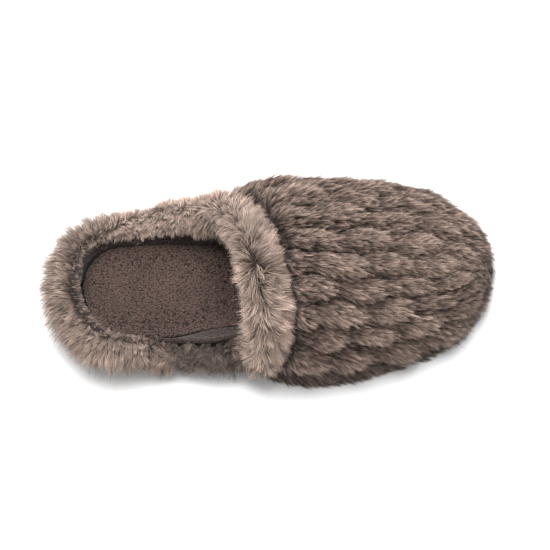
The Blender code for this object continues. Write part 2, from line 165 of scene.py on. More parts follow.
# a point of the backing cloth: xi is the rib, theta runs from the outer edge over the spine to the inner edge
def backingPoint(xi, theta):
    slant = opening["slant"] * np.exp(-(((xi - throatTop) / opening["slantReach"]) ** 2))
    x = xi - slant * shareAcross(theta, archPower(xi)) * halfWidth(xi, last["backingGrow"])
    across = shareAcross(theta, archPower(x))
    z = featherHeight(x) + np.abs(np.sin(theta)) ** (2 / archPower(x)) * backingRise(x)
    y = centreAt(x) + across * halfWidth(x, last["backingGrow"]) * flareAt(x, z, across)
    return np.stack([x, y, z], axis=-1)


# 1 on the backing, less inside it and more outside
def backingLevel(points):
    x, y, z = points[..., 0], points[..., 1], points[..., 2]
    aside = y - centreAt(x)
    width = halfWidth(x, last["backingGrow"]) * flareAt(x, z, aside)
    across = np.abs(aside / np.maximum(width, leastSize))
    up = np.abs((z - featherHeight(x)) / np.maximum(backingRise(x), leastSize))
    return across ** archPower(x) + up ** archPower(x)


def backingSlope(points):
    steps = np.eye(3) * slopeStep
    sides = [(backingLevel(points + step) - backingLevel(points - step)) / (2 * slopeStep) for step in steps]
    return np.stack(sides, axis=-1)


def backingNormal(points):
    return unit(backingSlope(points))


# height of the rim, which climbs more steeply on the outer side (-1) than on the inner one (1)
def toplineHeight(xi, side):
    dip = np.cos(np.minimum(xi / opening["sideDip"], 1) * np.pi) * 0.5 + 0.5
    low = opening["sideHeight"] + (opening["heelHeight"] - opening["sideHeight"]) * dip
    share = np.clip((xi - throatStart) / (throatTop - throatStart), 0, 1)
    low = low + (opening["innerLift"] * smooth(*opening["liftSpan"], xi) if side > 0 else 0)
    power = opening["throatPower"][0 if side < 0 else 1]
    climb = 1 - (1 - share**power) ** (1 / power)
    spine = featherHeight(xi) + backingRise(xi)
    return low + (spine - low) * climb


def halve(test, low, high):  # finds where test turns true
    for _ in range(halvings):
        middle = (low + high) / 2
        low, high = np.where(test(middle), low, middle), np.where(test(middle), middle, high)
    return high


def reachesRim(x):
    return featherHeight(x) + backingRise(x) >= toplineHeight(x, -1)


heelTop = float(halve(reachesRim, -last["backingGrow"], last["heelArc"]))


def topAngle(xi, side):
    up = (toplineHeight(xi, side) - featherHeight(xi)) / np.maximum(backingRise(xi), leastSize)
    cut = np.arcsin(np.clip(up, 0, 1) ** (archPower(xi) / 2))
    return np.where((xi <= heelTop) | (xi >= throatTop), np.pi / 2, cut)


def throatStation(angle, side):
    low = np.full_like(angle, throatStart)
    high = np.full_like(angle, throatTop)
    return halve(lambda x: topAngle(x, side) >= angle, low, high)


def rimStations(side, sideSteps, cornerSteps, climbSteps):
    turn = np.linspace(0, np.pi / 2, sideSteps + 1)
    low = heelTop + (throatStart - heelTop) * (1 - np.cos(turn))
    bend = throatStation(np.array([opening["cornerAngle"]]), side)[0]
    corner = np.linspace(throatStart, bend, cornerSteps + 1)[1:]
    climb = throatStation(np.linspace(opening["cornerAngle"], np.pi / 2, climbSteps + 1)[1:-1], side)
    return np.concatenate([low, corner, climb, [throatTop]])


def evenRing(line, count):
    ring = np.vstack([line, line[:1]])
    along = np.concatenate([[0], np.cumsum(np.linalg.norm(np.diff(ring, axis=0), axis=1))])
    at = np.linspace(0, along[-1], count, endpoint=False)
    return np.stack([np.interp(at, along, ring[:, k]) for k in range(3)], axis=1)


outerAt, innerAt = (rimStations(side, *opening["rimSteps"]) for side in (-1, 1))
outerRim = backingPoint(outerAt, topAngle(outerAt, -1))
innerRim = backingPoint(innerAt, np.pi - topAngle(innerAt, 1))
topline = evenRing(np.vstack([outerRim, innerRim[-2:0:-1]]), opening["rimPoints"])

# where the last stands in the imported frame
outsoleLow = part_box("outsole")[0]
soleX = np.linspace(0, soleLength, soleSteps)
soleEdge = (centreAt(soleX) - halfWidth(soleX)).min()
frameShift = np.array([outsoleLow[0] * mmPerMetre, outsoleLow[1] * mmPerMetre - soleEdge, 0.0])
print("last laid out, shift in mm", np.round(frameShift, 2))


def toFrame(points):
    return (points + frameShift) * metrePerMm


def addPiece(name, mesh, materials):
    piece = bpy.data.objects.new(name, mesh)
    bpy.context.scene.collection.objects.link(piece)
    for material in materials:
        mesh.materials.append(material)
    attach(piece, "root")
    return piece


# faces of a grid of points, each as four corners
def gridQuads(grid):
    corners = [grid[:-1, :-1], grid[:-1, 1:], grid[1:, 1:], grid[1:, :-1]]
    return np.stack(corners, axis=2).reshape(-1, 4, 3)


# one mesh from quads, with points at the same place made one
def weldedMesh(name, quads, materialIndex=None):
    keys, index = np.unique(np.round(quads.reshape(-1, 3), weldDigits), axis=0, return_inverse=True)
    index = index.reshape(-1, 4)
    faces, kept = [], []
    for k, quad in enumerate(index.tolist()):
        corners = list(dict.fromkeys(quad))
        if len(corners) > 2:
            faces.append(corners)
            kept.append(k)
    mesh = bpy.data.meshes.new(name)
    mesh.from_pydata(toFrame(keys).tolist(), [], faces)
    if materialIndex is not None:
        mesh.polygons.foreach_set("material_index", np.asarray(materialIndex)[kept].astype(np.int32))
    mesh.shade_smooth()
    return mesh


# a texture laid in the object's own space
def textureNode(tree, kind, **values):
    node = tree.nodes.new(kind)
    for label, value in values.items():
        node.inputs[label].default_value = value
    coord = tree.nodes.new("ShaderNodeTexCoord")
    tree.links.new(coord.outputs["Object"], node.inputs["Vector"])
    return node


# sockets among the given values are linked, numbers are set
def mathNode(tree, operation, *given):
    node = tree.nodes.new("ShaderNodeMath")
    node.operation = operation
    for socket, value in zip(node.inputs, given):
        if isinstance(value, bpy.types.NodeSocket):
            tree.links.new(value, socket)
        else:
            socket.default_value = value
    return node.outputs[0]


# the nap that lining, footbed and ground cloth share: nubs with fuzz, lighter and darker in clouds
napLook = {
    "nubSpread": 0.75, "fuzzScale": 1000, "fuzzDetail": 5, "cloudScale": 38, "cloudDetail": 3,
    "fuzzShare": 0.3, "cloudShare": 0.25, "lowest": -0.55, "highest": 0.3, "middle": 0.5,
}


def makeFleeceGroup():
    group = bpy.data.node_groups.new("fleeceNap", "ShaderNodeTree")
    inputs = (("Base", "NodeSocketColor"), ("Nub Scale", "NodeSocketFloat"), ("Contrast", "NodeSocketFloat"))
    for label, kind in inputs:
        group.interface.new_socket(label, in_out="INPUT", socket_type=kind)
    for label, kind in (("Color", "NodeSocketColor"), ("Height", "NodeSocketFloat")):
        group.interface.new_socket(label, in_out="OUTPUT", socket_type=kind)
    nodes, links = group.nodes, group.links
    given, made = nodes.new("NodeGroupInput"), nodes.new("NodeGroupOutput")
    nub = textureNode(group, "ShaderNodeTexVoronoi", Randomness=napLook["nubSpread"])
    nub.feature = "SMOOTH_F1"
    links.new(given.outputs["Nub Scale"], nub.inputs["Scale"])
    fuzz, cloud = (
        textureNode(group, "ShaderNodeTexNoise", Scale=napLook[name + "Scale"], Detail=napLook[name + "Detail"])
        for name in ("fuzz", "cloud"))
    soft = mathNode(group, "MULTIPLY", fuzz.outputs["Fac"], napLook["fuzzShare"])
    height = mathNode(group, "SUBTRACT", soft, nub.outputs["Distance"])
    blend = mathNode(group, "MULTIPLY_ADD", cloud.outputs["Fac"], napLook["cloudShare"], height)
    spread = nodes.new("ShaderNodeMapRange")
    spread.inputs["From Min"].default_value = napLook["lowest"]
    spread.inputs["From Max"].default_value = napLook["highest"]
    links.new(blend, spread.inputs["Value"])
    centred = mathNode(group, "SUBTRACT", spread.outputs[0], napLook["middle"])
    gain = mathNode(group, "MULTIPLY_ADD", centred, given.outputs["Contrast"], 1.0)
    tint = nodes.new("ShaderNodeVectorMath")
    tint.operation = "SCALE"
    links.new(given.outputs["Base"], tint.inputs[0])
    links.new(gain, tint.inputs["Scale"])
    links.new(tint.outputs[0], made.inputs["Color"])
    links.new(height, made.inputs["Height"])
    print("fleece group made")
    return group


fleeceGroup = makeFleeceGroup()
clothFinish = {"Roughness": 0.95, "Specular IOR Level": 0.15, "Sheen Roughness": 0.5}
clothRelief = 0.0014  # metres
strandFinish = {"Specular IOR Level": 0.22, "Sheen Weight": 0.15}


def newMaterial(name, finish):
    material = bpy.data.materials.new(name)
    material.use_nodes = True
    shader = material.node_tree.nodes["Principled BSDF"]
    for label, value in finish.items():
        shader.inputs[label].default_value = value
    return material, material.node_tree, shader


def addRelief(tree, shader, height, strength, depth):
    relief = tree.nodes.new("ShaderNodeBump")
    relief.inputs["Strength"].default_value = strength
    relief.inputs["Distance"].default_value = depth
    tree.links.new(height, relief.inputs["Height"])
    tree.links.new(relief.outputs["Normal"], shader.inputs["Normal"])


def clothMaterial(name, cloth):
    material, tree, shader = newMaterial(name, {**clothFinish, "Sheen Weight": cloth["sheen"]})
    nap = tree.nodes.new("ShaderNodeGroup")
    nap.node_tree = fleeceGroup
    nap.inputs["Base"].default_value = (*cloth["color"], 1)
    nap.inputs["Nub Scale"].default_value = cloth["nubScale"]
    nap.inputs["Contrast"].default_value = cloth["contrast"]
    tree.links.new(nap.outputs["Color"], shader.inputs["Base Color"])
    addRelief(tree, shader, nap.outputs["Height"], cloth["relief"], clothRelief)
    return material


def strandMaterial(name, roughness):
    material, tree, shader = newMaterial(name, {**strandFinish, "Roughness": roughness})
    tone = tree.nodes.new("ShaderNodeVertexColor")
    tone.layer_name = "strandTone"
    tree.links.new(tone.outputs["Color"], shader.inputs["Base Color"])
    return material


# what the hairs of vamp and cuff share
hairLook = {
    "lengths": (0.5, 1.3), "curlTurns": 1.3, "widths": (0.7, 1.25), "taper": 0.55, "floorGap": 0.35,
    "lockPower": 0.9, "guardFree": 0.8, "guardDark": 0.45, "tones": (0.2, 1.9),
}


# picks points on the triangles of a bed of points, and mixes the bed's fields there
def scatter(bed, fields, count):
    rows, cols = bed.shape[:2]
    index = np.arange(rows * cols).reshape(rows, cols)
    corners = (index[:-1, :-1], index[:-1, 1:], index[1:, 1:], index[1:, :-1])
    a, b, c, d = (corner.reshape(-1) for corner in corners)
    tris = np.concatenate([np.stack([a, b, c], 1), np.stack([a, c, d], 1)])
    flat = bed.reshape(-1, 3)
    sides = np.cross(flat[tris[:, 1]] - flat[tris[:, 0]], flat[tris[:, 2]] - flat[tris[:, 0]])
    weight = np.linalg.norm(sides, axis=1) * fields["density"].reshape(-1)[tris].mean(axis=1)
    steps = np.cumsum(weight)
    chosen = tris[np.searchsorted(steps, rng.random(count) * steps[-1])]
    u, v = rng.random((2, count))
    flip = u + v > 1
    u, v = np.where(flip, 1 - u, u), np.where(flip, 1 - v, v)
    share = np.stack([1 - u - v, u, v], axis=1)
    mixed = {"root": (flat[chosen] * share[..., None]).sum(axis=1)}
    for name, field in fields.items():
        values = field.reshape(len(flat), -1)
        mixed[name] = (values[chosen] * share[..., None]).sum(axis=1)
    return mixed


# centre lines of the hairs: they leave the bed at the lift angle and bend over towards the comb direction
def strandLines(at, look):
    count = len(at["root"])
    normal = unit(at["normal"])
    comb = unit(at["comb"] - normal * dot(at["comb"], normal))
    side = np.cross(normal, comb)
    turn = rng.normal(0, look["stray"], (count, 1)) * at["wild"]
    comb = comb * np.cos(turn) + side * np.sin(turn)
    side = np.cross(normal, comb)
    # guards are a few long stiff hairs that stand out of the pile
    guard = rng.random((count, 1)) < look["guards"] * at["guard"]
    lift = at["lift"] + rng.normal(0, look["liftStray"], (count, 1)) + guard * look["guardLift"]
    length = at["length"] * (1 + rng.normal(0, look["lengthStray"], (count, 1))).clip(*hairLook["lengths"])
    length = length * (1 + guard * look["guardLength"])
    start = comb * np.cos(lift) + normal * np.sin(lift)
    droop = lift * look["bend"]
    end = comb * np.cos(droop) + normal * np.sin(droop) + np.array([0, 0, -look["sag"]])
    t = look["steps"][None, :, None]
    path = start[:, None] * (t - t * t / 2) + end[:, None] * (t * t / 2)
    wave = np.sin(np.pi * t * hairLook["curlTurns"])
    curl = rng.normal(0, look["curl"], (count, 1, 1)) * at["wild"][:, None] * wave
    lines = at["root"][:, None] + path * length[:, None] + side[:, None] * curl * length[:, None]
    return lines, normal, guard


# hairs as tapered ribbons, joined into one mesh
def growPile(name, bed, fields, look, material):
    count = look["count"] // look["pieces"]
    steps = look["steps"]
    rungs = len(steps) - 1  # pairs of points below the tip
    at = scatter(bed, fields, count)
    lines, normal, guard = strandLines(at, look)
    # neighbours lean together into locks, closer towards the tips
    locks = max(count // look["perLock"], 1)
    guides = rng.choice(count, locks, replace=False)
    tree = kdtree.KDTree(locks)
    for k, g in enumerate(guides):
        tree.insert(Vector(at["root"][g]), k)
    tree.balance()
    lock = np.array([tree.find(Vector(root))[1] for root in at["root"]])
    hold = look["lockPull"] + (look["tightPull"] - look["lockPull"]) * at["clump"]
    hold = hold * (1 - hairLook["guardFree"] * guard)
    pull = hold[:, None] * (steps ** hairLook["lockPower"])[None, :, None]
    lines = lines + (lines[guides][lock] - lines) * pull
    lines[..., 2] = np.maximum(lines[..., 2], hairLook["floorGap"])
    heading = unit(np.gradient(lines, axis=1))
    roll = rng.uniform(-look["roll"], look["roll"], (count, 1, 1))
    flat = unit(np.cross(heading, np.repeat(normal[:, None], len(steps), axis=1)))
    edge = flat * np.cos(roll) + np.cross(heading, flat) * np.sin(roll)
    taper = 1 - hairLook["taper"] * steps[None, :, None]
    half = edge * look["width"] / 2 * rng.uniform(*hairLook["widths"], (count, 1, 1)) * taper
    sides = np.stack([lines - half, lines + half], axis=2)[:, :rungs].reshape(count, rungs * 2, 3)
    points = np.concatenate([sides, lines[:, -1:]], axis=1)
    size = rungs * 2 + 1
    corners = [k * 2 + c for k in range(rungs - 1) for c in (0, 1, 3, 2)] + [size - 3, size - 2, size - 1]
    loops = ((np.arange(count) * size)[:, None] + np.array(corners)[None]).reshape(-1)
    starts = ((np.arange(count) * len(corners))[:, None] + np.arange(rungs)[None] * 4).reshape(-1)
    mesh = bpy.data.meshes.new(name)
    mesh.vertices.add(count * size)
    mesh.vertices.foreach_set("co", toFrame(points.reshape(-1, 3)).astype(np.float32).reshape(-1))
    mesh.loops.add(len(loops))
    mesh.loops.foreach_set("vertex_index", loops.astype(np.int32))
    mesh.polygons.add(len(starts))
    mesh.polygons.foreach_set("loop_start", starts.astype(np.int32))
    # dark at the root, pale at the tip: partly the hair's own colour, partly painted shade deep in the pile;
    # each lock and each hair a little different
    lockTone = rng.normal(1, look["lockTone"], locks)[lock][:, None]
    hairTone = rng.normal(1, look["hairTone"], (count, 1))
    tone = at["tone"] * lockTone * hairTone * (1 - hairLook["guardDark"] * guard)
    ramp = np.array(look["ramp"])
    shades = np.stack([np.interp(steps, ramp[:, 0], ramp[:, k]) for k in (1, 2, 3)], axis=1)
    colors = (shades[None] * tone.clip(*hairLook["tones"])[:, None]).clip(0, 1)
    order = [k for k in range(rungs) for _ in (0, 1)] + [rungs]
    rgba = np.concatenate([colors[:, order], np.ones((count, size, 1))], axis=2)
    layer = mesh.color_attributes.new("strandTone", "FLOAT_COLOR", "POINT")
    layer.data.foreach_set("color", rgba.astype(np.float32).reshape(-1))
    mesh.update(calc_edges=True)
    mesh.shade_smooth()
    print(name, count, "hairs,", count * (rungs * 2 - 1), "triangles")
    return addPiece(name, mesh, [material])


# the roll of the cuff: spans run along the slipper, sides run across it
cuffLook = {
    "sideWidth": 15.0, "frontWidth": 18.5, "sideHeight": 12.0, "frontHeight": 18.0, "frontSpan": (92, 112),
    "innerHeight": 5.0, "innerSpan": (20, 44, 92, 108), "innerSide": (0, 14),
    "endHeight": 10.5, "endSpan": (102, 110), "endSide": (-26, -37),
    "hemSpan": (80, 94), "hemSide": (-30, -44), "floorGap": 5.5,
    "sections": 260, "outlineSteps": 44, "walkSteps": 34, "settleRounds": 3, "core": (0.40, 0.42),
    "bedShare": 0.70, "quarterTrim": 0.36, "quarterSpan": (44, 72, 100, 112), "trimInside": (0.5, 0.85),
    "profile": ((0.40, 0.03), (0.74, 0.20), (1.00, 0.54), (0.96, 0.76), (0.74, 0.92), (0.42, 1.00),
                (0.10, 0.93), (-0.12, 0.72), (-0.22, 0.40), (-0.22, 0.02), (-0.12, -0.26)),
    "ground": {"color": (0.028, 0.019, 0.016), "nubScale": 300, "contrast": 0.6, "relief": 0.5, "sheen": 0.1},
}


def cuffFront(rim):
    return smooth(*cuffLook["frontSpan"], rim[..., 0])


def cuffWidth(rim):
    width = cuffLook["sideWidth"] + (cuffLook["frontWidth"] - cuffLook["sideWidth"]) * cuffFront(rim)
    return np.minimum(width, rim[..., 2] - featherHeight(rim[..., 0]) - cuffLook["floorGap"])


# 1 at the outer end of the front: the hair falls over the sole at the hem, and the roll swells at its end
def cornerAt(rim, name):
    return smooth(*cuffLook[name + "Span"], rim[..., 0]) * smooth(*cuffLook[name + "Side"], rim[..., 1])


def cuffHeight(rim):
    x, aside = rim[..., 0], rim[..., 1] - centreAt(rim[..., 0])
    inner = hump(cuffLook["innerSpan"], x) * smooth(*cuffLook["innerSide"], aside)
    height = cuffLook["sideHeight"] + cuffLook["innerHeight"] * inner
    height = height + (cuffLook["frontHeight"] - height) * cuffFront(rim)
    return height + cuffLook["endHeight"] * cornerAt(rim, "end")


# 1 along the outer side in front of the heel, where the roll is low and its hair short
def nearQuarter(rim):
    x = rim[..., 0]
    return hump(cuffLook["quarterSpan"], x) * (rim[..., 1] < centreAt(x))


# the upper: plush in staggered tufts on a hollow wall; side and edge spans are of theta, others run along it
upperLook = {
    "rows": 72, "liningStep": 4, "ribSteps": (34, 14, 18), "toeRibs": 64, "toeReach": 0.94, "toeGap": 1.5,
    "heelStart": 0.3, "floorGap": 1.6, "skirtGap": 2.0, "clear": 1.0, "shoulder": 5.0,
    "droopBand": 14.0, "droop": 0.42, "trough": 0.55, "heelTuft": 0.7, "toeTuft": 0.6,
    # how much of the plush the ground cloth fills
    "bedTrough": 0.22, "lowBand": 20.0, "lowMore": 0.18, "heelShare": 0.62, "bedShare": 0.84,
    "fullFrom": {"outer": (70, 120), "inner": (0, 30)},
    "quarterMore": 0.2, "quarterSpan": (4, 30, 96, 124), "tipTrim": 0.22, "tipSpan": (222, 250),
    "toeTrim": 0.46, "toeSpan": (220, 250), "toeSide": (1.9, 1.2), "toeEdge": (0.1, 0.7),
    "throatMore": 0.10, "throatRise": (108, 124), "throatFall": (162, 136), "throatSide": (1.0, 0.3),
    # padding of the lining, up to the top of each rib
    "heelSwell": 1.2, "outerSwell": 7.0, "innerSwell": 1.0,
    "swellHeel": (0, 40), "swellFront": (106, 128), "swellOuter": (56, 90), "swellTop": (1.0, 0.45),
    "ground": {"color": (0.022, 0.015, 0.012), "nubScale": 300, "contrast": 0.6, "relief": 0.5, "sheen": 0.1},
    "lining": {"color": (0.040, 0.026, 0.0215), "nubScale": 900, "contrast": 1.5, "relief": 1.0, "sheen": 0.2},
}
tuftLook = {
    "rows": 13, "length": 31.0, "peak": 0.6, "neck": 0.415, "belly": 0.125, "bridge": 0.68, "swellPower": 0.9,
    "wave": 0.10, "waveAlong": 0.13, "waveRound": 5.0, "stagger": 0.5, "shift": 0.13, "shiftTurn": 5.1,
    "oddTurns": (12.99, 78.23, 43758.5), "leastReach": 0.92, "leastHeight": 0.84, "oddMore": 0.16,
    "edgeHeight": 0.55, "edgeRows": 0.9, "toeFade": 12.0,
}


# a share from 0 to 1 that differs from tuft to tuft
def oddShare(band, place):
    odd = np.sin(tuftLook["oddTurns"][0] * band + tuftLook["oddTurns"][1] * place) * tuftLook["oddTurns"][2]
    return odd - np.floor(odd)


# lengthwise tufts in staggered rows: height 0 in the troughs and 1 on the crests, and a number for each tuft
def tuftField(xi, theta):
    look = tuftLook
    row = theta / np.pi * look["rows"] + 0.5
    row = row + look["wave"] * np.sin(xi * look["waveAlong"] + theta * look["waveRound"])
    height = np.zeros(np.broadcast(xi, theta).shape)
    mark = np.zeros(height.shape)
    for step in (-1, 0, 1):
        band = np.floor(row) + step
        shift = look["shift"] * np.sin(look["shiftTurn"] * band)
        along = xi / look["length"] + look["stagger"] * (band % 2) + shift
        share = along - np.floor(along)
        odd = oddShare(band, np.floor(along))
        peak = look["peak"]
        rise = np.where(share < peak, share / peak, (1 - share) / (1 - peak))
        swell = np.sin(np.pi / 2 * rise) ** look["swellPower"]
        reach = (look["neck"] + look["belly"] * swell) * (look["leastReach"] + look["oddMore"] * odd)
        across = (row - band - 0.5) / reach
        body = look["bridge"] + (1 - look["bridge"]) * swell
        bump = np.clip(1 - across**2, 0, 1) ** 0.5 * body * (look["leastHeight"] + look["oddMore"] * odd)
        mark = np.where(bump > height, odd, mark)
        height = np.maximum(height, bump)
    edge = np.minimum(theta, np.pi - theta) / np.pi * look["rows"]
    # low and even along the sole
    height = look["edgeHeight"] + (height - look["edgeHeight"]) * smooth(0.0, look["edgeRows"], edge)
    fade = np.clip((soleLength - xi) / look["toeFade"], 0, 1)
    return upperLook["toeTuft"] + (height - upperLook["toeTuft"]) * fade, mark


# how much of the plush stands at a point: none under the cuff
def pileShare(points):
    flat = points.reshape(-1, 3)
    gap = np.full(len(flat), np.inf)
    reach = np.zeros(len(flat))
    for rim, width in zip(topline, cuffWidth(topline)):
        away = np.linalg.norm(flat - rim, axis=1)
        near = away < gap
        gap = np.where(near, away, gap)
        reach = np.where(near, width, reach)
    clear = gap - reach - upperLook["clear"]
    return np.clip(clear / upperLook["shoulder"], 0, 1).reshape(points.shape[:-1])


# 1 at the sole, 0 from the height of the band up
def lowShare(points, band):
    return np.clip(1 - (points[..., 2] - featherHeight(points[..., 0])) / band, 0, 1)


def pileTip(points, normal, depth):
    low = lowShare(points, upperLook["droopBand"])
    lean = normal - low[..., None] * np.array([0, 0, upperLook["droop"]])
    tip = points + lean * depth[..., None]
    floor = treadHeight(np.minimum(points[..., 0], soleLength)) + upperLook["floorGap"]
    tip[..., 2] = np.maximum(tip[..., 2], floor)
    return tip


# share of the plush that the ground cloth takes up
def bedCover(xi, theta, name):
    look = upperLook
    cover = look["heelShare"] + (look["bedShare"] - look["heelShare"]) * smooth(*look["fullFrom"][name], xi)
    if name == "inner":
        cover = cover + look["quarterMore"] * hump(look["quarterSpan"], xi)
    toe = smooth(*look["toeSpan"], xi) * smooth(*look["toeSide"], theta) * smooth(*look["toeEdge"], theta)
    cover = cover * (1 - look["toeTrim"] * toe) * (1 - look["tipTrim"] * smooth(*look["tipSpan"], xi))
    if name == "outer":
        throat = smooth(*look["throatRise"], xi) * smooth(*look["throatFall"], xi)
        cover = cover * (1 + look["throatMore"] * throat * smooth(*look["throatSide"], theta))
    return cover


# padding of the lining above the insole, thickest on the outer side in front of the heel
def liningSwell(x, side):
    look = upperLook
    heel, front = 1 - smooth(*look["swellHeel"], x), 1 - smooth(*look["swellFront"], x)
    outer, inner = look["outerSwell"] * smooth(*look["swellOuter"], x), look["innerSwell"]
    return (look["heelSwell"] * heel + np.where(side < 0, outer, inner) * (1 - heel)) * front


# where each rib starts at the sole, and where it ends at the rim or the spine
def ribFeet(side):
    look = upperLook
    sideSteps, cornerSteps, climbSteps = look["ribSteps"]
    rim = rimStations(side, sideSteps, cornerSteps, climbSteps)
    foot = opening["throatFoot"]
    spread = np.linspace(throatStart, foot, cornerSteps + climbSteps + 1)[1:]
    tip = soleLength - look["toeGap"]
    shares = np.sin(np.linspace(0, look["toeReach"] * np.pi / 2, look["toeRibs"]))[1:]
    shares = shares / shares[-1]
    first = [heelTop * look["heelStart"]]
    feet = np.concatenate([first, rim[:sideSteps + 1], spread, foot + (tip - foot) * shares])
    return feet, np.concatenate([first, rim, throatTop + (tip - throatTop) * shares])


# the point at the heel or toe where all ribs meet, for each layer
def upperPole(x, way, tuft):
    edge, normal = np.array([x, centreAt(x), featherHeight(x)]), np.array([way, 0, 0])
    skirt = np.array([x, edge[1], treadHeight(x) + upperLook["skirtGap"]])
    depth = tablePile(x) * (upperLook["trough"] + (1 - upperLook["trough"]) * tuft)
    bed = pileTip(edge, normal, np.array(depth * upperLook["heelShare"]))
    return {"edge": edge, "normal": normal, "skirt": skirt, "bed": bed, "lining": edge - normal * last["wall"]}


poleReach = (-last["backingGrow"], soleLength + last["backingGrow"])
upperPoles = [
    upperPole(poleReach[0], -1.0, upperLook["heelTuft"]), upperPole(poleReach[1], 1.0, upperLook["toeTuft"])]


def capped(grid, layer):
    ends = [np.repeat(pole[layer][None, None], grid.shape[1], axis=1) for pole in upperPoles]
    return np.concatenate([ends[0], grid, ends[1]], axis=0)


def withEnds(field, heel, toe):
    return np.concatenate([np.full_like(field[:1], heel), field, np.full_like(field[:1], toe)])


def makeUpper():
    look = upperLook
    share = np.linspace(0, 1, look["rows"] + 1)[None]
    quads, kinds, beds = [], [], {}
    for name, side in (("outer", -1), ("inner", 1)):
        feet, heads = ribFeet(side)
        xi = feet[:, None] + (heads - feet)[:, None] * share
        angle = topAngle(heads, side)[:, None] * share
        theta = angle if side < 0 else np.pi - angle
        points = backingPoint(xi, theta)
        normal = backingNormal(points)
        stand = pileShare(points)
        tuft = tuftField(xi, theta)[0]
        sunk = look["bedTrough"] + (1 - look["bedTrough"]) * tuft
        sunk = sunk + look["lowMore"] * lowShare(points, look["lowBand"])
        bed = pileTip(points, normal, tablePile(xi) * sunk * stand * bedCover(xi, theta, name))
        padding = liningSwell(points[..., 0], side) * smooth(*look["swellTop"], share)
        lining = (points - normal * (last["wall"] + padding)[..., None])[:, ::look["liningStep"]]
        edge = points[:, :1].copy()
        lining[:, 0, 2] = edge[:, 0, 2]
        skirt = edge.copy()
        skirt[..., 2] = treadHeight(edge[..., 0]) + look["skirtGap"]
        outside = np.concatenate([capped(edge, "edge"), capped(skirt, "skirt"), capped(bed, "bed")], axis=1)
        inside = np.concatenate([capped(lining, "lining")[:, ::-1], capped(edge, "edge")], axis=1)
        cut = (heads[:-1] >= heelTop) & (heads[:-1] < throatTop)
        rim = gridQuads(np.stack([bed[:, -1], lining[:, -1]], axis=1))[cut]
        for part, kind in ((gridQuads(outside), 0), (gridQuads(inside), 1), (rim, 1)):
            quads.append(part if name == "outer" else part[:, ::-1])
            kinds.append(np.full(len(part), kind))
        beds[name] = {  # the hair also covers the ends of the heel and toe
            "bed": capped(bed, "bed"), "normal": capped(normal, "normal"), "xi": withEnds(xi, *poleReach),
            "theta": np.concatenate([theta[:1], theta, theta[-1:]]), "stand": withEnds(stand, 1, 1),
        }
    mesh = weldedMesh("upperShell", np.concatenate(quads), np.concatenate(kinds))
    plush = clothMaterial("plushGround", look["ground"])
    fleece = clothMaterial("liningFleece", look["lining"])
    shell = addPiece("upperShell", mesh, [plush, fleece])
    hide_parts("upper")
    print("upper shell", len(mesh.polygons), "faces")
    return beds


upperBeds = makeUpper()

vampPile = {
    "steps": np.array([0.0, 0.5, 1.0]), "count": 75000, "pieces": 2, "pieceEnd": 185.0, "roughness": 0.7,
    "width": 0.34, "roll": 0.9, "stray": 0.17, "liftStray": 0.12, "lengthStray": 0.22, "bend": 0.3, "sag": 0.05,
    "curl": 0.035, "perLock": 8, "lockPull": 0.70, "tightPull": 0.70, "lockTone": 0.32, "hairTone": 0.2,
    "guards": 0.035, "guardLift": 0.2, "guardLength": 0.65, "toeGuards": 0.6, "guardFade": (215, 245),
    # root to tip colours; the dark roots are partly painted shade deep in the pile
    "ramp": ((0, 0.026, 0.016, 0.012), (0.5, 0.14, 0.094, 0.075), (1, 0.57, 0.42, 0.345)),
    "lowBand": 26.0, "vampSpan": (96, 124), "quarterSpan": (6, 34), "combStep": 1.0, "turnStep": 0.02,
    "swirl": 0.32, "sideFall": 0.18, "lowFall": 0.6, "lowAlong": 0.4, "quarterFall": 0.2, "spineSpread": 0.6,
    "lift": 0.40, "vampLift": 0.08, "lowLift": 0.16, "quarterLift": 0.45,
    "shortest": 2.8, "longest": 9.8, "lowMore": 5.0, "quarterMore": 7.0, "cuffShare": 0.35,
    "toeTrim": 0.35, "toeSpan": (230, 252), "toeSide": (1.9, 1.2),
    # painted shade in the troughs between tufts and on the low sides, painted light on the tuft crests
    "leastRoots": 0.02, "troughRoots": 0.4, "troughPaintedShade": 0.14, "tuftPaintedLight": 1.08, "lowPaintedShade": 0.5,
}


